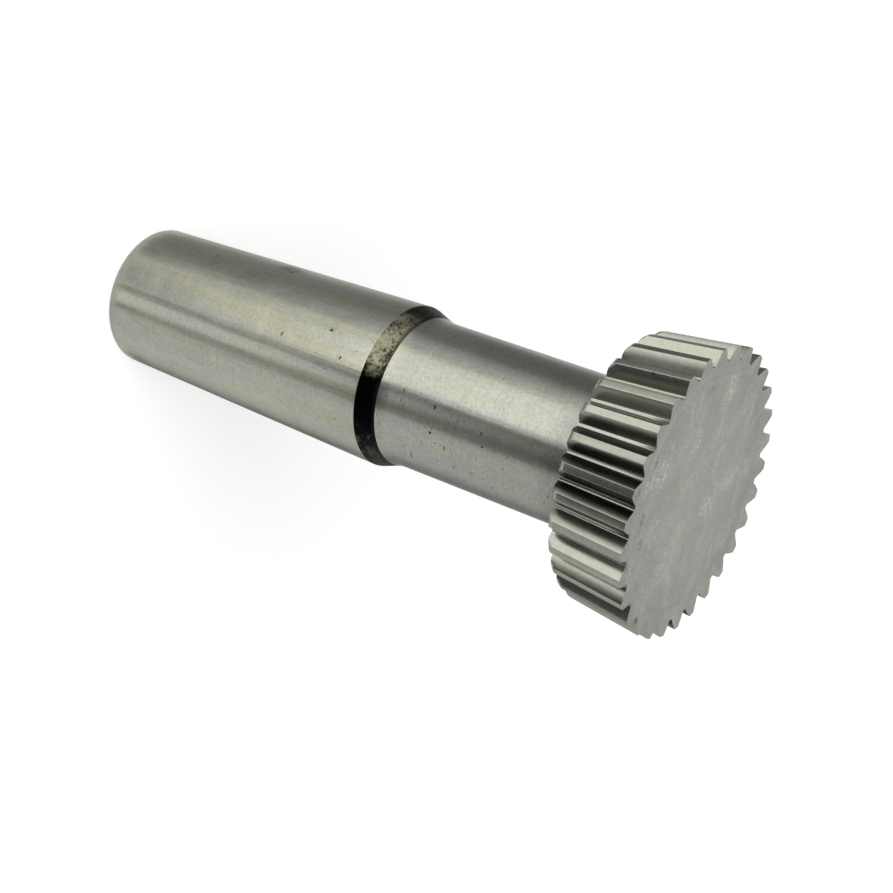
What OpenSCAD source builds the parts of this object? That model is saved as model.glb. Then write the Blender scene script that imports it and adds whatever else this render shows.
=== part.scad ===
// Shank gear shaper cutter, ground from one piece of high speed steel.
// It stands on the small end of its taper shank, with the cutting face up.
// The origin is the centre of the shank's end, and +Z is the axis.

/* [Overall] */
// Length from the shank's end to the tooth tips
overall_length = 97.7; // [85:0.1:130]

/* [Shank] */
// Length of the taper shank, from its end to the start of the step
shank_length = 49.7; // [35:0.1:60]
// Diameter at the large end of the taper
shank_large_d = 24.15; // [23:0.05:28]
// Length over which the taper loses one unit of diameter
taper_ratio = 19.922; // [15:0.001:30]
// Radius that breaks the edge of the shank's end
shank_end_r = 0.5; // [0.2:0.05:1.5]

/* [Centre hole] */
// Diameter of the drilled pilot
centre_pilot_d = 2.5; // [1.5:0.1:4]
// Depth of the drilled pilot from the end face
centre_pilot_depth = 7; // [5:0.1:12]
// Diameter of the countersink at the end face
centre_mouth_d = 5.3; // [4.5:0.1:8]
// Included angle of the countersink
centre_angle = 60; // [50:1:90]

/* [Neck] */
// Diameter of the neck
neck_d = 21.6; // [17:0.05:22.5]
// Slope of the step from the neck up to the shank
step_angle = 19.5; // [12:0.5:45]
// Radius that breaks the shank side of the step
step_edge_r = 0.5; // [0.2:0.05:1]
// Radius of the fillet at the neck side of the step
step_fillet_r = 8; // [0.5:0.5:12]
// Radius of the fillet where the neck meets the back of the head
back_fillet_r = 0.8; // [0.3:0.05:1.5]

/* [Teeth] */
// Number of teeth
tooth_count = 30; // [26:1:36]
// Module of the teeth
tooth_module = 1.25; // [1.15:0.01:1.5]
// Pressure angle of the flanks
pressure_angle = 30; // [25:0.5:32]
// Profile shift at the tooth tips, as a factor of the module
shift_factor = 0.43; // [0.1:0.001:0.5]
// Height of the teeth above the shifted pitch line, as a factor of the module
addendum_factor = 0.594; // [0.5:0.001:0.8]
// Depth of the spaces below the shifted pitch line, as a factor of the module
dedendum_factor = 0.936; // [0.6:0.001:1]
// Softened length of each tip corner
tip_break = 0.05; // [0.03:0.01:0.3]
// Softened length of each root corner
root_break = 0.2; // [0.1:0.01:0.3]

/* [Head] */
// Length of the head from the tooth tips to its back face
head_length = 11.65; // [9:0.05:16]
// Relief angle that thins the teeth towards the back
relief_angle = 6.2; // [3:0.1:8]
// Share of its size that a tooth space loses over each unit of length towards the back
space_narrowing = 0.007; // [0:0.001:0.012]
// Rake angle of the cutting face
rake_angle = 5; // [2:0.5:10]
// Diameter of the flat floor inside the raked ring
face_floor_d = 32.4; // [26:0.1:34]
// Radius that rounds the back corner of the teeth
back_corner_r = 1.3; // [0.5:0.1:2]

/* [Hidden] */
$fn = 120;

cut_clearance = 1;

shank_end_d = shank_large_d - shank_length / taper_ratio;
taper_half_angle = atan(0.5 / taper_ratio);
step_start_z = shank_length;
face_z = overall_length;
back_z = overall_length - head_length;

pitch_r = tooth_count * tooth_module / 2;
base_r = pitch_r * cos(pressure_angle);
tip_r = pitch_r + tooth_module * (shift_factor + addendum_factor);
root_r = pitch_r + tooth_module * (shift_factor - dedendum_factor);
back_tip_r = tip_r - head_length * tan(relief_angle);
half_pitch = 180 / tooth_count;
// half the angle of a tooth at the pitch circle
pitch_half_angle = half_pitch / 2
    + 2 * shift_factor * tan(pressure_angle) / tooth_count * 180 / PI;
floor_depth = (tip_r - face_floor_d / 2) * tan(rake_angle);

function polar(r, a) = [r * cos(a), r * sin(a)];

// Angle in degrees that an involute has turned through at pressure angle a
function involute(a) = tan(a) * 180 / PI - a;

// Half the angle of a tooth space at radius r
function space_half_angle(r) =
    half_pitch - pitch_half_angle - involute(pressure_angle) + involute(acos(base_r / r));

function flank(r) = polar(r, space_half_angle(r));

// Point at t from 0 to 1 along the curve that softens corner b between a and c
function soft(a, b, c, t) = (1 - t) * (1 - t) * a + 2 * t * (1 - t) * b + t * t * c;

// Points of an arc about the centre c
function arc(c, r, a0, a1, steps) =
    [for (i = [0 : steps]) c + polar(r, a0 + (a1 - a0) * i / steps)];

// How far the centre of a corner's arc lies from the foot of a wall that leans out by angle a
function inset(r, a) = r * tan(a) - r / cos(a);

// One side of a tooth space, from the root's middle out past the tip corner
function space_side() = let (
        root_a = space_half_angle(root_r),
        tip_a = space_half_angle(tip_r),
        root_land = polar(root_r, root_a - root_break / root_r * 180 / PI),
        tip_land = polar(tip_r, tip_a + tip_break / tip_r * 180 / PI),
        root_top = root_r + root_break,
        tip_foot = tip_r - tip_break,
        last = soft(flank(tip_foot), flank(tip_r), tip_land, 0.75),
        run_out = tip_land + 0.5 * (tip_land - last)
    ) concat(
        [for (i = [0 : 3]) soft(root_land, polar(root_r, root_a), flank(root_top), i / 4)],
        [for (i = [0 : 5]) flank(root_top + (tip_foot - root_top) * i / 5)],
        [for (i = [1 : 3]) soft(flank(tip_foot), flank(tip_r), tip_land, i / 4)],
        [run_out, run_out + [tooth_module, 0]]
    );

function mirrored(points) = [for (i = [len(points) - 1 : -1 : 0]) [points[i].x, -points[i].y]];

// Half section of the turned body, from the axis at the shank's end round to the cutting face
function body_section() = let (
        end_r = shank_end_d / 2,
        large_r = shank_large_d / 2,
        neck_r = neck_d / 2,
        step_turn = step_angle + taper_half_angle,
        edge_pull = step_edge_r * tan(step_turn / 2),
        drop = large_r - neck_r,
        slope_length = drop / tan(step_angle),
        // the slope's wall limits the fillet
        widest_r = 0.9 * (drop / sin(step_angle) - edge_pull) / tan(step_angle / 2),
        fillet_r = min(step_fillet_r, widest_r),
        fillet_z = step_start_z + slope_length + fillet_r * tan(step_angle / 2)
    ) concat(
        [[0, 0]],
        arc([end_r + inset(shank_end_r, taper_half_angle), shank_end_r],
            shank_end_r, -90, -taper_half_angle, 5),
        arc([large_r - edge_pull * sin(taper_half_angle) - step_edge_r * cos(taper_half_angle),
             step_start_z - edge_pull * cos(taper_half_angle) + step_edge_r * sin(taper_half_angle)],
            step_edge_r, -taper_half_angle, step_angle, 3),
        arc([neck_r + fillet_r, fillet_z], fillet_r, 180 + step_angle, 180, 6),
        arc([neck_r + back_fillet_r, back_z - back_fillet_r], back_fillet_r, 180, 90, 4),
        arc([back_tip_r + inset(back_corner_r, relief_angle), back_z + back_corner_r],
            back_corner_r, -90, -relief_angle, 6),
        [[tip_r, face_z]],
        [[face_floor_d / 2, face_z - floor_depth]],
        [[0, face_z - floor_depth]]
    );

module turned_body() {
    rotate_extrude() polygon(body_section());
}

module centre_hole() {
    cone_h = centre_mouth_d / 2 / tan(centre_angle / 2);
    cylinder(d = centre_pilot_d, h = centre_pilot_depth);
    translate([0, 0, -cut_clearance])
        cylinder(r1 = (cone_h + cut_clearance) * tan(centre_angle / 2), r2 = 0,
            h = cone_h + cut_clearance);
}

// One space between two teeth. Towards the back it runs inwards by the relief angle and narrows,
// so that the lands stay as wide as the teeth get lower
module tooth_space() {
    outline = concat(mirrored(space_side()), space_side());
    back_size = 1 - space_narrowing * (head_length + cut_clearance);
    front_size = 1 + space_narrowing * cut_clearance;
    section = [for (p = outline) back_size * [(p.x - tip_r) * cos(relief_angle), p.y]];
    translate([tip_r, 0, face_z])
        rotate([0, relief_angle, 0])
            translate([0, 0, -head_length - cut_clearance])
                linear_extrude(head_length + 2 * cut_clearance, scale = front_size / back_size)
                    polygon(section);
}

module cutter() {
    color("#9a9c96")
        difference() {
            turned_body();
            centre_hole();
            for (i = [0 : tooth_count - 1])
                rotate([0, 0, (i + 0.5) * 360 / tooth_count]) tooth_space();
        }
}

cutter();
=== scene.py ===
"""Looks of a shank gear shaper cutter, standing on the small end of its taper shank.

Sizes are in millimetres and angles in degrees until a mesh is made, which is in metres.
The cutter is one closed surface, worked out ring by ring from the cutting face's middle to the
bottom of the centre hole in the shank's end.
"""

import bpy
import numpy as np
from mathutils import Matrix, Vector


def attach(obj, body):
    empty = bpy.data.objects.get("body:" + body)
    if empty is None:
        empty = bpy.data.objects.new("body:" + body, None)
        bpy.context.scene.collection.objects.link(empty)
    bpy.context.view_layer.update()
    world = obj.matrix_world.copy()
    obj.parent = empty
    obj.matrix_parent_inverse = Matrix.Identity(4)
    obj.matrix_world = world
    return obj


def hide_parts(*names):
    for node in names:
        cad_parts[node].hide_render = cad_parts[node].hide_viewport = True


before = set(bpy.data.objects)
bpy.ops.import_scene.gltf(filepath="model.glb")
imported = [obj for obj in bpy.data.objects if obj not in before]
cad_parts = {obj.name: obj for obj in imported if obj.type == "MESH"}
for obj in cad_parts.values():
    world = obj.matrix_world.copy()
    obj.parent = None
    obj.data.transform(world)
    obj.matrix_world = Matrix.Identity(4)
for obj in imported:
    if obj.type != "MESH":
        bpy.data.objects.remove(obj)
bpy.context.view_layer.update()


MM = 0.001

# Sizes of the cutter, the same as in the part's source
overall_length = 97.7
shank_length = 49.7
shank_large_d = 24.15
taper_ratio = 19.922
shank_end_r = 0.5
centre_pilot_d = 2.5
centre_pilot_depth = 7.0
centre_mouth_d = 5.3
centre_angle = 60.0
neck_d = 21.6
step_angle = 19.5
step_edge_r = 0.5
step_fillet_r = 8.0
back_fillet_r = 0.8
tooth_count = 30
tooth_module = 1.25
pressure_angle = 30.0
shift_factor = 0.43
addendum_factor = 0.594
dedendum_factor = 0.936
tip_break = 0.05
root_break = 0.2
head_length = 11.65
relief_angle = 6.2
space_narrowing = 0.007
rake_angle = 5.0
face_floor_d = 32.4
back_corner_r = 1.3

# Sizes worked out from them
pitch_r = tooth_count * tooth_module / 2
base_r = pitch_r * np.cos(np.radians(pressure_angle))
tip_r = pitch_r + tooth_module * (shift_factor + addendum_factor)
root_r = pitch_r + tooth_module * (shift_factor - dedendum_factor)
relief = np.tan(np.radians(relief_angle))
rake = np.tan(np.radians(rake_angle))
half_pitch = np.pi / tooth_count
back_z = overall_length - head_length
floor_r = face_floor_d / 2

# Where the surface has its rings: radii on the flat floor, then shares of the way across the
# raked ring, along the teeth and across the back face
FLOOR_RINGS = (2.0, 5.0, 8.5, 12.5, floor_r)
RAKED_RINGS = (0.15, 0.5, 0.85)
TEETH_RINGS = (0.02, 0.06, 0.12, 0.2, 0.3, 0.4, 0.5, 0.6, 0.7, 0.8, 0.9, 1.0)
BACK_RINGS = (0.2, 0.5, 0.8)
# Rounds in which the cutting edge's depth settles, by a factor of about 100 each
EDGE_ROUNDS = 8
# Edges that turn by more than this stay sharp
SHARP_CORNER = 32.0


# Shape of the teeth

def involute(angle):
    """How far an involute has turned at a pressure angle: tan(angle) - angle, in radians."""
    return np.tan(angle) - angle


def space_half_angle(radius):
    """Half the angle of a tooth space at a radius: its value at the pitch circle, widened by
    the involute's turn from the pitch circle to arccos(base_r / radius)."""
    pressure = np.radians(pressure_angle)
    tooth_half = half_pitch / 2 + 2 * shift_factor * np.tan(pressure) / tooth_count
    return half_pitch - tooth_half - involute(pressure) + involute(np.arccos(base_r / radius))


def polar(radius, angle):
    """Points (radius cos angle, radius sin angle), one to a row."""
    return np.stack(np.broadcast_arrays(radius * np.cos(angle), radius * np.sin(angle)), -1)


def flank(radius):
    """Points of the flank at these radii."""
    return polar(radius, space_half_angle(radius))


def soft(start, corner, end, t):
    """Curve that softens a corner: (1-t)^2 start + 2t(1-t) corner + t^2 end."""
    t = np.asarray(t)[:, None]
    return (1 - t) ** 2 * start + 2 * t * (1 - t) * corner + t ** 2 * end


def space_side():
    """Points of one side of a tooth space, from the middle of its root out to the land of the
    tooth: the flat root, its softened corner, the involute flank and the softened tip."""
    root_a, tip_a = space_half_angle(root_r), space_half_angle(tip_r)
    root_land = polar(root_r, root_a - root_break / root_r)
    tip_land = polar(tip_r, tip_a + tip_break / tip_r)
    flat = root_land * np.array([[1, 0], [1, 0.5]])
    root_corner = soft(root_land, polar(root_r, root_a), flank(root_r + root_break),
                       [0, 0.25, 0.5, 0.75])
    middle = flank(np.linspace(root_r + root_break, tip_r - tip_break, 6))
    tip_corner = soft(flank(tip_r - tip_break), flank(tip_r), tip_land, [0.25, 0.5, 0.75, 1])
    return np.concatenate([flat, root_corner, middle, tip_corner])


def tooth_ring(depth):
    """Outline of the 30 teeth as (radius, azimuth), at a depth below the tips for each column.
    Each space moves towards the axis by depth * tan(relief angle) and shrinks towards its mouth
    by the narrowing, and the lands lie on the cone radius = tip_r - depth * tan(relief angle)."""
    side = space_side()
    lean = np.radians(relief_angle)
    from_mouth = side[:, 0] - tip_r
    size = ((1 - space_narrowing * depth[:, :len(side)] / np.cos(lean))
            / (1 - space_narrowing * from_mouth * np.sin(lean)))
    across = side[:, 1] * size
    outward = tip_r - depth[:, :len(side)] * relief + from_mouth * size
    radius = np.hypot(outward, across)
    angle = np.arctan2(across, outward)
    cone = tip_r - depth * relief
    radius = np.concatenate([np.minimum(radius, cone[:, :len(side)]), cone[:, len(side):]], 1)
    half_land = (angle[:, -1:] + half_pitch) / 2
    middle = np.full_like(half_land, half_pitch)
    return radius, np.concatenate([angle, half_land, middle], 1)


def edge_depth_of_face():
    """Depth of the cutting edge at each column, where the outline meets the raked ring:
    depth = (tip_r - radius) * tan(rake angle), found by repeated substitution."""
    depth = np.zeros((1, len(space_side()) + 2))
    for _ in range(EDGE_ROUNDS):
        depth = (tip_r - tooth_ring(depth)[0]) * rake
    return depth


def full_turn(radius, angle):
    """Repeats half a pitch, from a space's middle to a tooth's middle, round the whole circle:
    mirrored in the tooth's middle, then turned by each pitch in turn."""
    pitch_radius = np.concatenate([radius, radius[:, -2:0:-1]], 1)
    pitch_angle = np.concatenate([angle, 2 * half_pitch - angle[:, -2:0:-1]], 1)
    starts = (np.arange(tooth_count) + 0.5) * 2 * half_pitch
    turned = pitch_angle[:, None, :] + starts[None, :, None]
    return np.tile(pitch_radius, tooth_count), turned.reshape(len(radius), -1)


def arc(centre_r, centre_z, radius, start, end, steps):
    """Points (r, z) of an arc about a centre, from one angle to another in degrees."""
    angle = np.radians(np.linspace(start, end, steps))
    return np.stack([centre_r + radius * np.cos(angle), centre_z + radius * np.sin(angle)], -1)


def inset(radius, angle):
    """How far a corner arc's centre lies from the foot of a wall that leans by an angle."""
    lean = np.radians(angle)
    return radius * np.tan(lean) - radius / np.cos(lean)


def along(start, end, steps):
    """Points (r, z) after one point and up to another, evenly spaced on a straight line."""
    share = np.linspace(0, 1, steps + 1)[1:, None]
    return np.array(start) * (1 - share) + np.array(end) * share


def step_fillet_arc():
    """The long fillet between the neck and the step's slope. It touches the neck at
    step_fillet_r * tan(step angle / 2) above the corner of the two."""
    slope = np.radians(step_angle)
    drop = (shank_large_d - neck_d) / 2
    centre_z = shank_length + drop / np.tan(slope) + step_fillet_r * np.tan(slope / 2)
    return arc(neck_d / 2 + step_fillet_r, centre_z, step_fillet_r, 180, 180 + step_angle, 9)


def step_edge_arc(lean):
    """The rounded edge between the step's slope and the shank, whose wall leans by an angle. It
    touches the shank at step_edge_r * tan((step angle + lean) / 2) below the corner."""
    wall = np.radians(lean)
    below = step_edge_r * np.tan(np.radians(step_angle + lean) / 2)
    centre_r = shank_large_d / 2 - below * np.sin(wall) - step_edge_r * np.cos(wall)
    centre_z = shank_length - below * np.cos(wall) + step_edge_r * np.sin(wall)
    return arc(centre_r, centre_z, step_edge_r, step_angle, -lean, 5)


def shaft_profile():
    """Half section (r, z) of everything below the head, from the back fillet down the neck and
    the step, along the taper shank, round its end and up the centre hole to its bottom.
    Each part has the name of its finish: the neck's runs down most of the step's fillet, and
    the shank's up most of the step's edge."""
    lean = np.degrees(np.arctan(0.5 / taper_ratio))
    end_r = (shank_large_d - shank_length / taper_ratio) / 2
    neck_r, pilot_r, mouth_r = neck_d / 2, centre_pilot_d / 2, centre_mouth_d / 2
    cone_z = (mouth_r - pilot_r) / np.tan(np.radians(centre_angle / 2))
    back_fillet = arc(neck_r + back_fillet_r, back_z - back_fillet_r, back_fillet_r, 90, 180, 6)
    step_fillet, step_edge = step_fillet_arc(), step_edge_arc(lean)
    end_round = arc(end_r + inset(shank_end_r, lean), shank_end_r, shank_end_r, -lean, -90, 6)
    neck = along(back_fillet[-1], step_fillet[0], 9)[:-1]
    slope = along(step_fillet[-1], step_edge[0], 3)[:-1]
    shank = along(step_edge[-1], end_round[0], 14)[:-1]
    end_face = along(end_round[-1], [mouth_r, 0], 3)
    countersink = along([mouth_r, 0], [pilot_r, cone_z], 2)
    pilot = along([pilot_r, cone_z], [pilot_r, centre_pilot_depth], 2)
    bottom = along([pilot_r, centre_pilot_depth], [0, centre_pilot_depth], 2)[:-1]
    return [("back", back_fillet),
            ("neck", np.concatenate([neck, step_fillet[:7]])),
            ("step", np.concatenate([step_fillet[7:], slope, step_edge[:2]])),
            ("shank", np.concatenate([step_edge[2:], shank, end_round])),
            ("end", np.concatenate([end_face, countersink, pilot, bottom]))]


def column(values):
    """Numbers as a column, one to a ring."""
    return np.array(values)[:, None]


def cutter_rings():
    """Every ring of the cutter as (x, y, z) for each column, and the finish of the strip that
    ends at each ring. In order: rings of the flat floor, the raked ring, the teeth from the
    cutting edge to the back, their rounded back corner, the back face and the shaft."""
    half_columns = len(space_side()) + 2
    none = np.zeros((1, half_columns))
    rings, finishes = [], []

    def add(radius, angle, height, finish):
        """Adds rings given for half a pitch, as radius, azimuth and height."""
        around, turned = full_turn(radius, angle)
        up = np.tile(np.concatenate([height, height[:, -2:0:-1]], 1), tooth_count)
        rings.append(np.stack([around * np.cos(turned), around * np.sin(turned), up], -1))
        finishes.extend([finish] * len(radius))

    # The cutting face: the raked ring meets each column where both are equally deep
    edge_depth = edge_depth_of_face()
    edge_r, edge_a = tooth_ring(edge_depth)
    inner = column(FLOOR_RINGS) + none
    floor_z = overall_length - (tip_r - floor_r) * rake
    add(inner, edge_a + 0 * inner, floor_z + 0 * inner, "face")
    ring_r = floor_r + (edge_r - floor_r) * column(RAKED_RINGS)
    add(ring_r, edge_a + 0 * ring_r, overall_length - (tip_r - ring_r) * rake, "face")
    add(edge_r, edge_a, overall_length - edge_depth, "face")

    # The flanks and lands, which get lower towards the back
    corner_depth = head_length - back_corner_r * (1 - np.sin(np.radians(relief_angle)))
    share = column(TEETH_RINGS)
    depth = edge_depth * (1 - share) + corner_depth * share
    radius, angle = tooth_ring(depth)
    add(radius, angle, overall_length - depth, "teeth")

    # The rounded back corner of the teeth, and the spaces' ends
    back_tip_r = tip_r - head_length * relief
    turn = column(np.radians(np.linspace(-relief_angle, -90, 8))[1:])
    depth = head_length - back_corner_r * (1 + np.sin(turn)) + none
    corner = back_tip_r + inset(back_corner_r, relief_angle) + back_corner_r * np.cos(turn)
    radius, angle = tooth_ring(depth)
    radius = np.minimum(radius, corner)
    add(radius, angle, overall_length - depth, "teeth")

    # The back face, then the shaft
    last_r, last_a = radius[-1:], angle[-1:]
    fillet_r = neck_d / 2 + back_fillet_r
    share = column(BACK_RINGS)
    ring_r = last_r * (1 - share) + fillet_r * share
    add(ring_r, last_a + 0 * ring_r, back_z + 0 * ring_r, "back")
    for finish, points in shaft_profile():
        flat = points[:, :1] + none
        add(flat, last_a + 0 * flat, points[:, 1:] + none, finish)
    return np.concatenate(rings), finishes


def strips(here, beside):
    """Faces between each ring of vertices and the next, where beside holds the number of each
    vertex's neighbour along its ring."""
    return np.stack([here[:-1], here[1:], beside[1:], beside[:-1]], -1).reshape(-1, 4)


def new_mesh(name, points, *faces):
    """A mesh of an array of points and one or more arrays of faces."""
    mesh = bpy.data.meshes.new(name)
    mesh.from_pydata(points.tolist(), [], sum((part.tolist() for part in faces), []))
    return mesh


def closed_mesh(name, rings, first_pole, last_pole):
    """Mesh of a grid of rings whose columns run round, closed by a pole at each end.
    Vertex (i, j) is ring i and column j, and its faces turn outwards when the rings run from the
    top down and the columns run anticlockwise."""
    count, columns = rings.shape[:2]
    points = np.concatenate([[first_pole], rings.reshape(-1, 3), [last_pole]]) * MM
    here = 1 + np.arange(count * columns).reshape(count, columns)
    beside = np.roll(here, -1, 1)
    cap = np.stack([np.zeros(columns, int), here[0], beside[0]], -1)
    base = np.stack([np.full(columns, len(points) - 1), beside[-1], here[-1]], -1)
    return new_mesh(name, points, cap, strips(here, beside), base)


def place(name, mesh):
    """Puts a mesh in the scene, at the origin, and returns its object."""
    thing = bpy.data.objects.new(name, mesh)
    bpy.context.scene.collection.objects.link(thing)
    return thing


# Nodes

class Tree:
    """A node tree that is written one line to a node. Wherever a node takes an input, it is a
    socket to link from or a value to set."""

    def __init__(self, tree):
        self.tree = tree

    def put(self, value, socket):
        """Links a value to a socket, or sets it there."""
        if isinstance(value, bpy.types.NodeSocket):
            self.tree.links.new(value, socket)
        else:
            socket.default_value = value

    def add(self, kind, inputs=None, **settings):
        """Adds a node."""
        node = self.tree.nodes.new(kind)
        for name, value in settings.items():
            setattr(node, name, value)
        for name, value in (inputs or {}).items():
            self.put(value, node.inputs[name])
        return node

    def math(self, operation, first, second=0.0, third=0.0, clamp=False):
        """A Math node's value."""
        return self.add("ShaderNodeMath", {0: first, 1: second, 2: third}, operation=operation,
                        use_clamp=clamp).outputs[0]

    def times(self, first, second):
        """The product of two values."""
        return self.math("MULTIPLY", first, second)

    def plus(self, total, value, weight):
        """A total with a value added, times a weight."""
        return self.math("MULTIPLY_ADD", value, weight, total)

    def minus(self, first, second):
        """The difference of two values."""
        return self.math("SUBTRACT", first, second)

    def most(self, *values):
        """The largest of several values."""
        total = values[0]
        for value in values[1:]:
            total = self.math("MAXIMUM", total, value)
        return total

    def ramp(self, value, low, high, to_low=0.0, to_high=1.0):
        """A smooth step between two values."""
        node = self.add("ShaderNodeMapRange", {"Value": value, "From Min": low, "From Max": high,
                                               "To Min": to_low, "To Max": to_high},
                        interpolation_type="SMOOTHSTEP")
        return node.outputs["Result"]

    def mix(self, factor, first, second):
        """A mix of two colours."""
        return self.add("ShaderNodeMix", {0: factor, 6: first, 7: second},
                        data_type="RGBA").outputs[2]

    def scaled(self, colour, factor):
        """A colour times a value."""
        return self.add("ShaderNodeVectorMath", {0: colour, "Scale": factor},
                        operation="SCALE").outputs[0]

    def noise(self, vector, scale, detail=2.0, roughness=0.5, distortion=0.0):
        """A noise texture's value, from 0 to 1."""
        node = self.add("ShaderNodeTexNoise", {"Vector": vector, "Scale": scale, "Detail": detail,
                                               "Roughness": roughness, "Distortion": distortion})
        return node.outputs["Fac"]

    def uneven(self, *settings):
        """A noise texture's value less its middle, so that it adds nothing on average."""
        return self.minus(self.noise(*settings), 0.5)

    def stretch(self, vector, scale, location=(0, 0, 0)):
        """A pattern's coordinates, scaled and moved by a Mapping node."""
        return self.add("ShaderNodeMapping", {"Vector": vector, "Scale": scale,
                                              "Location": location}).outputs["Vector"]

    def stretched_noise(self, vector, scale, *settings, location=(0, 0, 0)):
        """A noise whose scale along each axis is its own."""
        return self.noise(self.stretch(vector, scale, location), 1.0, *settings)

    def place(self):
        """Object coordinates, in metres."""
        return self.add("ShaderNodeTexCoord").outputs["Object"]

    def height(self, place_of):
        """Height above the shank's end, in millimetres."""
        parts = self.add("ShaderNodeSeparateXYZ", {"Vector": place_of}).outputs
        return self.times(parts["Z"], 1000)

    def radius(self, place_of):
        """Distance from the axis, sqrt(x^2 + y^2), in millimetres."""
        parts = self.add("ShaderNodeSeparateXYZ", {"Vector": place_of}).outputs
        square = self.plus(self.times(parts["X"], parts["X"]), parts["Y"], parts["Y"])
        return self.times(self.math("SQRT", square), 1000)


def grey(value, warmth=0.0):
    """A neutral colour, warmed towards cream by a positive warmth."""
    return (value * (1 + warmth), value * (1 + 0.4 * warmth), value * (1 - warmth), 1)


WHITE = grey(1.0)
DIRT = grey(0.02)
JET_BLACK = grey(0.001)
# Painted shade for the spaces between the teeth
TOOTH_SPACE_SHADE = grey(0.006)


def new_group(name, inputs, outputs):
    """An empty node group with named inputs, given with their values, and named outputs."""
    group = bpy.data.node_groups.new(name, "ShaderNodeTree")
    for label, value in inputs.items():
        kind = "Float"
        if isinstance(value, tuple):
            kind = "Color" if len(value) == 4 else "Vector"
        socket = group.interface.new_socket(label, in_out="INPUT",
                                            socket_type="NodeSocket" + kind)
        socket.default_value = value
    for label, kind in outputs.items():
        group.interface.new_socket(label, in_out="OUTPUT", socket_type="NodeSocket" + kind)
    tree = Tree(group)
    given = tree.add("NodeGroupInput").outputs
    result = tree.add("NodeGroupOutput").inputs
    return tree, given, result


def ground_steel_group():
    """Ground steel: fine lines round the axis, streaks along it, grain, clouds and a cast of
    colour. The lines come from noise that changes fast along Z and slowly across it, and the
    streaks from noise that changes fast across Z and slowly along it."""
    tree, given, result = new_group(
        "ground_steel",
        {"Colour": (0.332, 0.343, 0.302, 1), "Roughness": 0.4, "Lines": 0.06, "Streaks": 0.1,
         "Grain": 0.2, "Clouds": 0.2, "Cast": 1.0, "Line Height": 0.3, "Streak Height": 0.0},
        {"Colour": "Color", "Roughness": "Float", "Height": "Float"})
    place_of = tree.place()
    fine_lines = tree.stretched_noise(place_of, (60, 60, 4200), 3.0, 0.6)
    broad_lines = tree.stretched_noise(place_of, (40, 40, 1300))
    thin_streaks = tree.stretched_noise(place_of, (1500, 1500, 45), 3.0, 0.6)
    wide_streaks = tree.stretched_noise(place_of, (450, 450, 14), 3.0, 0.6, location=(3, 1, 2))
    cast = tree.stretched_noise(place_of, (500, 500, 40), 3.0, location=(7, 3, 1))
    lines = tree.minus(tree.math("ADD", fine_lines, broad_lines), 1.0)
    streaks = tree.minus(tree.math("ADD", thin_streaks, wide_streaks), 1.0)
    grain = tree.uneven(place_of, 2300, 3.0, 0.65)
    clouds = tree.uneven(place_of, 190, 6.0, 0.76, 0.5)
    light = tree.plus(1.0, lines, given["Lines"])
    light = tree.plus(light, streaks, given["Streaks"])
    light = tree.plus(light, grain, given["Grain"])
    light = tree.plus(light, clouds, given["Clouds"])
    hue = tree.mix(tree.ramp(cast, 0.35, 0.65), (1.02, 1.0, 0.93, 1), (0.98, 1.0, 1.06, 1))
    tint = tree.mix(given["Cast"], WHITE, hue)
    tinted = tree.add("ShaderNodeVectorMath", {0: given["Colour"], 1: tint},
                      operation="MULTIPLY").outputs[0]
    height = tree.plus(tree.times(lines, given["Line Height"]), streaks, given["Streak Height"])
    tree.put(tree.scaled(tinted, light), result["Colour"])
    tree.put(tree.plus(given["Roughness"], clouds, 0.2), result["Roughness"])
    tree.put(height, result["Height"])
    return tree.tree


def pits_group():
    """Pits of many sizes: spots at the middles of a Voronoi pattern's cells, in the share of
    them whose random value is low enough. Long makes them that much longer round the axis than
    along it."""
    tree, given, result = new_group(
        "pits", {"Size": 900.0, "Share": 0.1, "Long": 1.5}, {"Mask": "Float"})
    place_of = tree.place()
    bent = tree.add("ShaderNodeTexNoise", {"Vector": place_of, "Scale": 4500.0})
    bend = tree.scaled(bent.outputs["Color"], 0.0004)
    ragged = tree.add("ShaderNodeVectorMath", {0: place_of, 1: bend}).outputs[0]
    squeeze = tree.add("ShaderNodeCombineXYZ", {"X": 1.0, "Y": 1.0, "Z": given["Long"]})
    cells = tree.add("ShaderNodeTexVoronoi", {"Vector": tree.stretch(ragged, squeeze.outputs[0]),
                                              "Scale": given["Size"]}).outputs
    chance = tree.add("ShaderNodeSeparateColor", {"Color": cells["Color"]}).outputs
    chosen = tree.math("LESS_THAN", chance[0], given["Share"])
    reach = tree.plus(0.1, tree.times(chance[1], chance[1]), 0.26)
    spot = tree.ramp(tree.minus(reach, cells["Distance"]), 0.0, 0.07)
    tree.put(tree.times(chosen, spot), result["Mask"])
    return tree.tree


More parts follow.
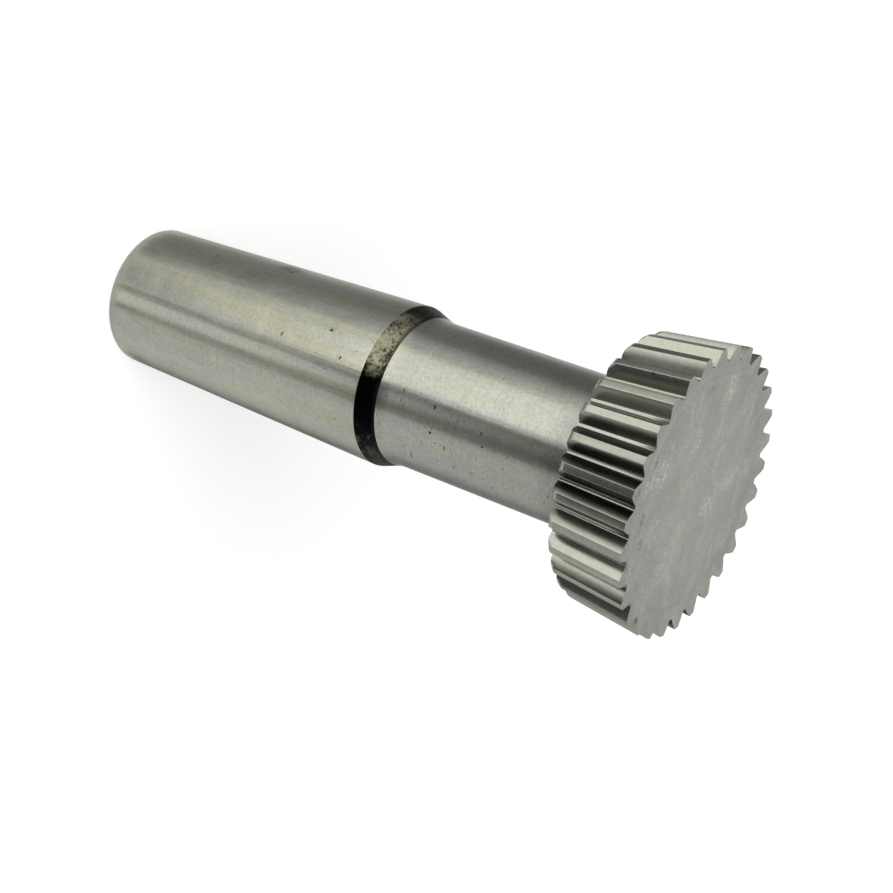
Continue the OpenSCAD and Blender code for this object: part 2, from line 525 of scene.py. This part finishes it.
def sector_group():
    """The part of the cutter that faces one way: 1 where the azimuth lies within the inner angle
    of the way's azimuth, and 0 beyond the outer one. All angles are in degrees, and Ragged
    shifts the border by a noise."""
    tree, given, result = new_group(
        "sector", {"Azimuth": 0.0, "Inner": 20.0, "Outer": 40.0, "Ragged": 0.0, "Scale": 300.0},
        {"Mask": "Float"})
    place_of = tree.place()
    parts = tree.add("ShaderNodeSeparateXYZ", {"Vector": place_of}).outputs
    turn = tree.math("RADIANS", given["Azimuth"])
    cosine, sine = tree.math("COSINE", turn), tree.math("SINE", turn)
    ahead = tree.plus(tree.times(parts["X"], cosine), parts["Y"], sine)
    aside = tree.minus(tree.times(parts["Y"], cosine), tree.times(parts["X"], sine))
    angle = tree.math("ABSOLUTE", tree.math("DEGREES", tree.math("ARCTAN2", aside, ahead)))
    angle = tree.plus(angle, tree.uneven(place_of, given["Scale"], 4.0, 0.65), given["Ragged"])
    share = tree.math("DIVIDE", tree.minus(given["Outer"], angle),
                      tree.minus(given["Outer"], given["Inner"]), clamp=True)
    tree.put(tree.ramp(share, 0, 1), result["Mask"])
    return tree.tree


def mark_group():
    """One nick or smudge: 1 within a ragged ellipsoid whose centre is Place and whose half
    lengths are Size, turned by Turn. Soft is the share of it over which it fades."""
    tree, given, result = new_group(
        "mark", {"Place": (0.0, 0.0, 0.0), "Turn": (0.0, 0.0, 0.0), "Size": (1.0, 1.0, 1.0),
                 "Ragged": 0.8, "Scale": 5000.0, "Soft": 0.4}, {"Mask": "Float"})
    place_of = tree.place()
    near = tree.add("ShaderNodeMapping", {"Vector": place_of, "Location": given["Place"],
                                          "Rotation": given["Turn"], "Scale": given["Size"]},
                    vector_type="TEXTURE").outputs[0]
    far = tree.add("ShaderNodeVectorMath", {0: near}, operation="LENGTH").outputs["Value"]
    far = tree.plus(far, tree.uneven(place_of, given["Scale"], 3.0, 0.6), given["Ragged"])
    share = tree.math("DIVIDE", tree.minus(1.0, far), given["Soft"], clamp=True)
    tree.put(tree.ramp(share, 0, 1), result["Mask"])
    return tree.tree


def use_group(tree, group, **inputs):
    """A group's node in a material, with its own values."""
    node = tree.add("ShaderNodeGroup", node_tree=group)
    for name, value in inputs.items():
        tree.put(value, node.inputs[name.replace("_", " ")])
    return node.outputs


def steel_material(name, anisotropy=0.0):
    """A material with a metallic shader, and its tree and shader."""
    material = bpy.data.materials.new(name)
    material.use_nodes = True
    shader = material.node_tree.nodes["Principled BSDF"]
    shader.inputs["Metallic"].default_value = 1.0
    shader.inputs["Anisotropic"].default_value = anisotropy
    shader.inputs["Anisotropic Rotation"].default_value = 0.25
    return material, Tree(material.node_tree), shader


STEEL = ground_steel_group()
PITS = pits_group()
SECTOR = sector_group()
MARK = mark_group()

# The azimuth of the side that faces the viewer. A side of the cutter is an angle round it from
# there, and is positive towards the upper side of the picture
VIEW_AZIMUTH = -91.9

# Nicks: height, side, half length round the axis and along it in millimetres, strength
SHANK_NICKS = (
    (42.0, 19, 0.3, 0.4, 1.0), (45.5, 3, 0.35, 0.2, 1.0), (43.5, -7, 0.25, 0.14, 0.7),
    (30.5, -12, 0.15, 0.2, 0.4), (21.5, 9, 0.15, 0.3, 0.3), (36.0, 30, 0.15, 0.3, 0.3))
NECK_NICKS = (
    (62.0, -7, 0.5, 0.25, 0.8), (62.0, -26, 0.3, 0.24, 1.0), (70.0, -13, 0.26, 0.24, 0.7),
    (70.5, -22, 0.22, 0.2, 1.0), (56.5, -3, 0.5, 0.14, 0.7), (64.5, -34, 0.5, 0.14, 0.9),
    (69.0, -47, 0.22, 0.18, 0.9), (58.5, -53, 0.7, 0.14, 0.9))
# The shank's radius about where its nicks are
NICKED_SHANK_R = 11.9
# Patches and smudges of the cutting face: radius, side, half length, the smudges' strength
FACE_PATCHES = (
    (13.3, 1, 4.0), (5.1, -160, 2.6), (8.1, 44, 2.6), (14.2, 82, 3.2), (10.9, -39, 3.0))
FACE_SMUDGES = (
    (15.9, 5, 1.2, 0.4), (15.0, -22, 1.5, 0.4), (14.6, -36, 1.4, 0.35),
    (18.2, -8, 0.8, 0.5), (18.0, -40, 1.1, 0.45), (14.8, 60, 1.2, 0.25))


def finish_material(tree, shader, colour, rough, height=None, distance=0.00002):
    """Links a colour, a roughness and a height to the shader."""
    tree.put(colour, shader.inputs["Base Color"])
    tree.put(rough, shader.inputs["Roughness"])
    if height is not None:
        bump = tree.add("ShaderNodeBump", {"Height": height, "Distance": distance,
                                           "Strength": 1.0})
        tree.put(bump.outputs["Normal"], shader.inputs["Normal"])


def facing(tree, side, inner, outer, ragged=0.0, scale=300.0):
    """The mask of one side of the cutter, and of what lies within the angles of it."""
    return use_group(tree, SECTOR, Azimuth=VIEW_AZIMUTH - side, Inner=inner, Outer=outer,
                     Ragged=ragged, Scale=scale)["Mask"]


def mark(tree, radius, height, side, size, ragged=2.0, soft=0.5, scale=5000.0):
    """The mask of one nick or smudge at a radius, a height and a side of the cutter. Its size is
    its half lengths outwards, round the axis and along it, in millimetres."""
    azimuth = np.radians(VIEW_AZIMUTH - side)
    where = (radius * np.cos(azimuth) * MM, radius * np.sin(azimuth) * MM, height * MM)
    return use_group(tree, MARK, Place=where, Turn=(0, 0, azimuth), Ragged=ragged, Soft=soft,
                     Scale=scale, Size=tuple(half * MM for half in size))["Mask"]


def all_nicks(tree, radius, nicks):
    """The masks of several nicks at a radius put together, each with its own strength."""
    return tree.most(*(
        tree.times(mark(tree, radius, height, side, (2, half_round, half_along)), strength)
        for height, side, half_round, half_along, strength in nicks))


def ground_shank():
    """The taper shank: satin ground, with long streaks, a smudge and a few nicks."""
    material, tree, shader = steel_material("ground_shank", 0.9)
    steel = use_group(tree, STEEL, Colour=(0.334, 0.342, 0.288, 1), Roughness=0.32, Lines=0.1,
                      Streaks=0.26, Grain=0.6, Clouds=0.6, Streak_Height=1.2)
    pits = use_group(tree, PITS, Size=800.0, Share=0.012)["Mask"]
    smudge = mark(tree, radius=11.3, height=26.5, side=67, size=(3, 2.3, 3.0), ragged=1.5,
                  soft=0.9, scale=1200)
    dirt = tree.most(tree.times(pits, 0.6), tree.times(smudge, 0.6),
                     all_nicks(tree, NICKED_SHANK_R, SHANK_NICKS))
    colour = tree.mix(dirt, steel["Colour"], DIRT)
    finish_material(tree, shader, colour, steel["Roughness"], steel["Height"])
    return material


def ground_neck():
    """The neck: satin ground, with small black pits and dashes that gather on its lower side
    near the step, a few nicks, and a grainy darkening next to the head that is partly a stain
    and partly painted shade from the head."""
    material, tree, shader = steel_material("ground_neck", 0.9)
    steel = use_group(tree, STEEL, Roughness=0.34, Lines=0.16, Streaks=0.14, Grain=0.7,
                      Clouds=0.34, Cast=0.7, Streak_Height=0.6)
    place_of = tree.place()
    height = tree.height(place_of)
    low_side = facing(tree, side=-48, inner=22, outer=60, ragged=20)
    near_step = tree.ramp(height, 72, 60, 0.3, 1.0)
    share = tree.plus(0.012, tree.times(low_side, near_step), 0.22)
    pits = use_group(tree, PITS, Size=2100.0, Share=share, Long=2.2)["Mask"]
    dashes = use_group(tree, PITS, Size=1250.0, Share=tree.times(share, 0.9), Long=3.0)["Mask"]
    # Painted shade from the head, partly a stain: darker towards the head on one side, broken up
    # by a grain
    shade_by_head = tree.times(tree.ramp(height, 78.5, 82, 0.0, 0.4),
                           facing(tree, side=-32, inner=48, outer=66, ragged=10))
    film = tree.times(shade_by_head, tree.noise(place_of, 2600, 3.0, 0.7))
    dirt = tree.most(tree.times(tree.most(pits, dashes), 0.8),
                     all_nicks(tree, neck_d / 2, NECK_NICKS), film)
    colour = tree.mix(dirt, steel["Colour"], DIRT)
    finish_material(tree, shader, colour, steel["Roughness"], steel["Height"])
    return material


def scaled_step():
    """The step: unground, under heat scale that is brown and speckled on one side, jet black
    beside it and dark grey elsewhere, with a dark line along the neck."""
    material, tree, shader = steel_material("scaled_step")
    place_of = tree.place()
    patch = tree.noise(place_of, 420, 4.0, 0.65)
    speckle = tree.noise(place_of, 2600, 3.0, 0.7)
    tone = tree.plus(tree.times(patch, 0.55), speckle, 0.45)
    brown = tree.mix(tree.ramp(tone, 0.41, 0.57), (0.032, 0.03, 0.021, 1),
                     (0.25, 0.24, 0.175, 1))
    dark = tree.mix(tree.ramp(tone, 0.43, 0.6), (0.004, 0.004, 0.003, 1),
                    (0.05, 0.052, 0.045, 1))
    top = facing(tree, side=76, inner=10, outer=34, ragged=20)
    bottom = facing(tree, side=-60, inner=38, outer=52, ragged=30)
    black_band = facing(tree, side=-17, inner=15, outer=30, ragged=40, scale=500)
    black_spots = facing(tree, side=-42, inner=4, outer=26, ragged=130, scale=420)
    colour = tree.mix(top, brown, dark)
    colour = tree.mix(bottom, colour, dark)
    colour = tree.mix(black_band, colour, JET_BLACK)
    colour = tree.mix(black_spots, colour, JET_BLACK)
    ragged_height = tree.plus(tree.height(place_of), tree.minus(patch, 0.5), 1.2)
    line = tree.ramp(ragged_height, 52.0, 52.5, 0.0, 0.7)
    colour = tree.mix(line, colour, grey(0.01))
    rough = tree.ramp(speckle, 0.3, 0.7, 0.6, 0.45)
    finish_material(tree, shader, colour, rough, speckle, 0.00005)
    return material


def ground_teeth():
    """The teeth: ground flanks and lands, with painted shade in some of the spaces, which also
    roughens them. How far down a point lies goes from 0 on the cone of the lands to 1 on the
    cone of the roots. The painted shade lies on the flanks and roots, thins towards the tips
    and leaves the edge of the root strip bright."""
    material, tree, shader = steel_material("ground_teeth")
    steel = use_group(tree, STEEL, Colour=(0.292, 0.302, 0.263, 1), Roughness=0.24, Lines=0.08,
                      Streaks=0.12, Grain=0.35, Clouds=0.25, Cast=0.5)
    pits = use_group(tree, PITS, Size=900.0, Share=0.05)["Mask"]
    place_of = tree.place()
    behind = tree.minus(overall_length, tree.height(place_of))
    from_lands = tree.minus(tree.plus(tip_r, behind, -relief), tree.radius(place_of))
    down = tree.math("DIVIDE", from_lands, tip_r - root_r)
    rag = tree.stretched_noise(place_of, (800, 800, 160), 4.0, 0.7)
    ragged_down = tree.plus(down, tree.minus(rag, 0.5), 0.5)
    on_flank = tree.times(tree.ramp(ragged_down, -0.2, 0.55), tree.ramp(down, 0.93, 0.86))
    on_root = tree.times(tree.ramp(down, 0.975, 0.995), tree.ramp(rag, 0.3, 0.6))
    # Painted shade in the tooth spaces: on the flanks of the spaces towards the viewer, above
    # them and low on the right, and on the roots towards the viewer
    near_side = facing(tree, side=-6, inner=7, outer=37, ragged=10)
    upper_side = tree.times(facing(tree, side=34, inner=10, outer=24, ragged=8), 0.45)
    lower_right = facing(tree, side=-124, inner=16, outer=22, ragged=4)
    shade_in_spaces = tree.times(on_flank, tree.most(near_side, upper_side, lower_right))
    shaded_roots = tree.times(on_root, facing(tree, side=-4, inner=30, outer=50, ragged=10))
    space_shade = tree.most(shade_in_spaces, tree.times(shaded_roots, 0.85))
    # The painted shade in the spaces, together with real pits
    dirt = tree.most(tree.times(space_shade, 0.97), tree.times(pits, 0.5))
    colour = tree.mix(dirt, steel["Colour"], TOOTH_SPACE_SHADE)
    rough = tree.plus(steel["Roughness"], space_shade, 0.15)
    finish_material(tree, shader, colour, rough, steel["Height"])
    return material


def cutting_face():
    """The cutting face: matt grey under a waxy film with swirling smears, light patches full of
    fine strokes, dark smudges and scuffs near its rim, and a faint darker arc of painted shade
    where the raked ring begins."""
    material, tree, shader = steel_material("cutting_face")
    steel = use_group(tree, STEEL, Colour=(0.338, 0.348, 0.314, 1), Roughness=0.58, Lines=0.0,
                      Streaks=0.0, Grain=0.2, Clouds=0.22, Cast=0.15)
    place_of = tree.place()
    radius = tree.radius(place_of)
    swirl = tree.noise(tree.stretch(place_of, (1, 1.4, 1)), 190, 4.0, 0.65, 0.6)
    wisp = tree.noise(tree.stretch(place_of, (1.5, 1, 1)), 1500, 5.0, 0.8, 0.9)
    strokes = tree.most(
        tree.stretched_noise(place_of, (700, 2600, 1), 3.0, 0.7, 0.8),
        tree.stretched_noise(place_of, (2600, 900, 1), 3.0, 0.7, 0.8, location=(5, 2, 0)))
    patches = tree.most(tree.times(tree.ramp(swirl, 0.45, 0.7), 0.5), *(
        mark(tree, at, overall_length, side, (half, half, 3), ragged=2.0, soft=0.9, scale=300)
        for at, side, half in FACE_PATCHES))
    fine = tree.minus(wisp, 0.5)
    film = tree.plus(tree.times(fine, 0.42), tree.minus(swirl, 0.5), 0.26)
    film = tree.plus(film, patches, 0.04)
    film = tree.plus(film, tree.times(patches, tree.ramp(strokes, 0.5, 0.66)), 0.46)
    film = tree.plus(film, tree.times(patches, fine), 1.0)
    # Painted shade: a faint darker arc along the fold where the raked ring begins
    from_ring = tree.math("ABSOLUTE", tree.minus(radius, floor_r))
    film = tree.plus(film, tree.ramp(from_ring, 0.5, 0.0), -0.05)
    bright = tree.math("ADD", film, tree.ramp(radius, 8, 17, 1.045, 0.975))
    colour = tree.scaled(steel["Colour"], bright)
    for at, side, half, strength in FACE_SMUDGES:
        smudge = mark(tree, at, overall_length, side, (half * 0.5, half, 3), ragged=3.0,
                      soft=0.8, scale=1600)
        colour = tree.mix(tree.times(smudge, strength), colour, grey(0.05))
    rim = tree.times(tree.ramp(radius, 16.8, 18.8), tree.ramp(wisp, 0.52, 0.6))
    scuffs = tree.times(rim, facing(tree, side=-20, inner=40, outer=80, ragged=20))
    colour = tree.mix(tree.times(scuffs, 0.45), colour, grey(0.06))
    rough = tree.plus(steel["Roughness"], film, -0.2)
    finish_material(tree, shader, colour, rough)
    return material


def turned_back():
    """The back face of the head, its fillet, and the shank's end."""
    material, tree, shader = steel_material("turned_back")
    steel = use_group(tree, STEEL, Roughness=0.42, Lines=0.1, Streaks=0.0, Grain=0.3,
                      Clouds=0.4)
    pits = use_group(tree, PITS, Size=700.0, Share=0.04)["Mask"]
    colour = tree.mix(tree.times(pits, 0.6), steel["Colour"], grey(0.03))
    finish_material(tree, shader, colour, steel["Roughness"], steel["Height"])
    return material


# The cutter

def make_cutter():
    """The whole cutter as one closed piece, with a material for each finish."""
    rings, finishes = cutter_rings()
    mesh = closed_mesh("shaper_cutter", rings, rings[0].mean(0), rings[-1].mean(0))
    makers = {"face": cutting_face, "teeth": ground_teeth, "back": turned_back,
              "neck": ground_neck, "step": scaled_step, "shank": ground_shank,
              "end": turned_back}
    for maker in makers.values():
        mesh.materials.append(maker())
    # A row of faces ends at each ring, and one more at the last pole
    rows = [list(makers).index(finish) for finish in finishes + finishes[-1:]]
    material_of = np.repeat(rows, rings.shape[1])
    mesh.polygons.foreach_set("material_index", material_of.astype(np.int32))
    mesh.polygons.foreach_set("use_smooth", np.ones(len(mesh.polygons), bool))
    mesh.set_sharp_from_angle(angle=np.radians(SHARP_CORNER))
    mesh.update()
    cutter = place("shaper_cutter", mesh)
    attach(cutter, "root")
    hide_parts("cutter")
    return cutter


# The camera and the studio

HALF_PIXEL = 0.5 / 893
# In metres, a little lower than the shank's end, so that the two don't share a plane
FLOOR_Z = -0.00002
# Light from the floor and the surround. With the lamp's light on it, the floor is just white
FLOOR_GLOW = 0.53
SURROUND_SEEN, SURROUND_ON_MATT = 1.0, 0.3
# The cards start from a mean radius of shank and neck
CARD_ROOT = neck_d / 2 + 1.0
CARD_COLUMNS = 25


def make_camera():
    """The photograph's viewpoint. The columns are the camera's right, up and backward."""
    right = (-0.326945, 0.493545, 0.805929)
    up = (-0.943501, -0.121748, -0.308197)
    backward = (-0.053989, -0.861158, 0.505464)
    stand = Matrix.Translation((-0.006640, -0.201961, 0.178048))
    data = bpy.data.cameras.new("camera")
    data.lens, data.sensor_width = 66.889, 36
    data.shift_x, data.shift_y = -HALF_PIXEL, HALF_PIXEL
    data.clip_start, data.clip_end = 0.01, 50
    camera = bpy.data.objects.new("camera", data)
    camera.matrix_world = stand @ Matrix((right, up, backward)).transposed().to_4x4()
    bpy.context.scene.collection.objects.link(camera)
    bpy.context.scene.camera = camera


def seen_white(tree):
    """1 for what the camera sees, in reflections and through clear matter too, and 0 for light
    that falls on matt surfaces."""
    path = tree.add("ShaderNodeLightPath").outputs
    return tree.most(path["Is Camera Ray"], path["Is Glossy Ray"], path["Is Transmission Ray"])


def make_floor():
    """A wide pale disc, in metres: radius r and azimuth a give (r cos a, r sin a, height)."""
    radius, azimuth = column(np.linspace(0.2, 8, 5)), np.linspace(0, 2 * np.pi, 65)[:-1]
    rings = np.stack(np.broadcast_arrays(radius * np.cos(azimuth), radius * np.sin(azimuth),
                                         FLOOR_Z), -1)
    count, columns = rings.shape[:2]
    points = np.concatenate([[(0, 0, FLOOR_Z)], rings.reshape(-1, 3)])
    here = 1 + np.arange(count * columns).reshape(count, columns)
    beside = np.roll(here, -1, 1)
    middle = np.stack([np.zeros(columns, int), here[0], beside[0]], -1)
    mesh = new_mesh("floor", points, middle, strips(here, beside))
    material = bpy.data.materials.new("pale_floor")
    material.use_nodes = True
    tree = Tree(material.node_tree)
    shader = material.node_tree.nodes["Principled BSDF"].inputs
    shader["Base Color"].default_value = grey(0.8)
    shader["Roughness"].default_value = 0.9
    shader["Specular IOR Level"].default_value = 0.0
    shader["Emission Color"].default_value = WHITE
    tree.put(tree.times(seen_white(tree), FLOOR_GLOW), shader["Emission Strength"])
    mesh.materials.append(material)
    place("floor", mesh)


def make_world():
    """A white surround, which lights matt surfaces at a plain level."""
    world = bpy.data.worlds.new("surround")
    world.use_nodes = True
    tree = Tree(world.node_tree)
    background = world.node_tree.nodes["Background"].inputs
    background["Color"].default_value = WHITE
    tree.put(tree.ramp(seen_white(tree), 0, 1, SURROUND_ON_MATT, SURROUND_SEEN),
             background["Strength"])
    bpy.context.scene.world = world


def make_lamp():
    """A soft lamp above the viewer, which gives the cutter its shadow on the floor."""
    data = bpy.data.lights.new("soft_lamp", "SUN")
    data.energy = 1.3
    data.angle = np.radians(40)
    lamp = bpy.data.objects.new("soft_lamp", data)
    shines_towards = Vector((0.1, 0.5, -0.85))
    lamp.rotation_euler = shines_towards.to_track_quat("-Z", "Y").to_euler()
    lamp.visible_glossy = False
    bpy.context.scene.collection.objects.link(lamp)


def card_material(name, warmth):
    """A studio card, as bright as the mesh's glow attribute says, which fades at its sides by
    the cover attribute."""
    material = bpy.data.materials.new(name)
    material.use_nodes = True
    tree = Tree(material.node_tree)
    tree.tree.nodes.remove(tree.tree.nodes["Principled BSDF"])
    level = tree.add("ShaderNodeAttribute", attribute_name="glow").outputs["Fac"]
    cover = tree.add("ShaderNodeAttribute", attribute_name="cover").outputs["Fac"]
    glow = tree.add("ShaderNodeEmission", {"Color": grey(1.0, warmth), "Strength": level})
    clear = tree.add("ShaderNodeBsdfTransparent")
    both = tree.add("ShaderNodeMixShader", {0: cover, 1: clear.outputs[0], 2: glow.outputs[0]})
    tree.put(both.outputs[0], tree.tree.nodes["Material Output"].inputs["Surface"])
    return material


def card_path(near, far, bottom, top):
    """Points (reach, height) along the floor from the nearer to the farther reach, then up at
    the farther."""
    start, corner, end = (near, bottom), (far, bottom), (far, top)
    path = np.concatenate([[start], along(start, corner, 8)])
    return np.concatenate([path, along(corner, end, 4)]) if top > bottom else path


def card(name, sides, fades, reach, heights, levels, warmth=0.0, growth=1.0, drift=0.0):
    """A grey or bright card that only reflections see. Side s from first to last is an angle
    round the cutter from the viewer's direction v: the card's point at reach d lies on the ray
    that leaves the shank at azimuth v - s and runs on at azimuth v - 2s, where a viewer sees it.
    It lies on the floor from the nearer to the farther reach, then stands up at the farther.
    Share u of the way into the fade at either side, its cover is 3u^2 - 2u^3. At share t of the
    farther reach, its level has gone from the first to the second by t to the power of growth,
    and its sides have drifted by t times drift."""
    path = card_path(*reach, *heights)
    share = path[:, 0] / reach[1]
    side = column(np.linspace(*sides, CARD_COLUMNS))
    inside = np.minimum((side - sides[0]) / fades[0], (sides[1] - side) / fades[1]).clip(0, 1)
    cover = np.broadcast_to(inside * inside * (3 - 2 * inside), (CARD_COLUMNS, len(path)))
    glow = np.broadcast_to(levels[0] + (levels[1] - levels[0]) * share ** growth, cover.shape)
    side = side + drift * share
    start, onward = np.radians(VIEW_AZIMUTH - side), np.radians(VIEW_AZIMUTH - 2 * side)
    x = CARD_ROOT * np.cos(start) + path[:, 0] * np.cos(onward)
    y = CARD_ROOT * np.sin(start) + path[:, 0] * np.sin(onward)
    points = np.stack(np.broadcast_arrays(x, y, path[:, 1]), -1).reshape(-1, 3) * MM
    here = np.arange(len(points)).reshape(CARD_COLUMNS, -1)
    mesh = new_mesh(name, points, strips(here[:, :-1], here[:, 1:]))
    for label, values in (("cover", cover), ("glow", glow)):
        layer = mesh.attributes.new(label, "FLOAT", "POINT")
        layer.data.foreach_set("value", values.ravel().astype(np.float32))
    mesh.materials.append(card_material(name, warmth))
    thing = place(name, mesh)
    thing.visible_camera = thing.visible_diffuse = thing.visible_shadow = False


def make_cards():
    """Dark and bright cards round the cutter. The low ones lie on the floor and show in the
    shank, and the standing ones show in the neck and the teeth."""
    low, tall, close = (0.0, 74.0), (76.0, 90.0), (78.0, 92.0)
    flat, line, wall, near_wall = (0.3, 0.3), (0.6, 0.6), (0.3, 170.0), (0.6, 170.0)
    card("low_dark_far_side", (22, 78), (15, 16), low, flat, (0.42, 0.42))
    card("low_dark_near_side", (-90, -60), (4, 13), low, flat, (0.26, 0.26))
    card("low_mid", (-60, -22), (8, 3), low, line, (1.07, 1.3))
    card("low_between", (-17, -6), (3, 3), low, flat, (1.45, 3.3), growth=3.0)
    card("low_bright", (-1, 23), (4, 8), low, flat, (0.72, 2.1), 0.03, 1.35)
    card("low_line_high", (-5, 1), (2, 3), low, line, (0.5, 0.25), drift=-4.5)
    card("low_line_low", (-22, -16), (2, 2), low, line, (0.5, 0.9), growth=4.0)
    card("tall_dark_far_side", (33, 80), (12, 16), tall, wall, (0.25, 0.25))
    card("tall_dark_near_side", (-88, -54), (12, 14), tall, wall, (0.36, 0.36))
    card("tall_mid", (-64, -22), (12, 3), close, near_wall, (0.88, 0.88))
    card("tall_dark_streak", (-24.5, -0.5), (3, 3), tall, wall, (0.09, 0.09))
    card("tall_bright", (-3, 30), (3, 6), close, near_wall, (2.05, 2.05), 0.03)


make_camera()
make_cutter()
make_floor()
make_world()
make_lamp()
make_cards()
bpy.context.scene.view_settings.view_transform = "Standard"
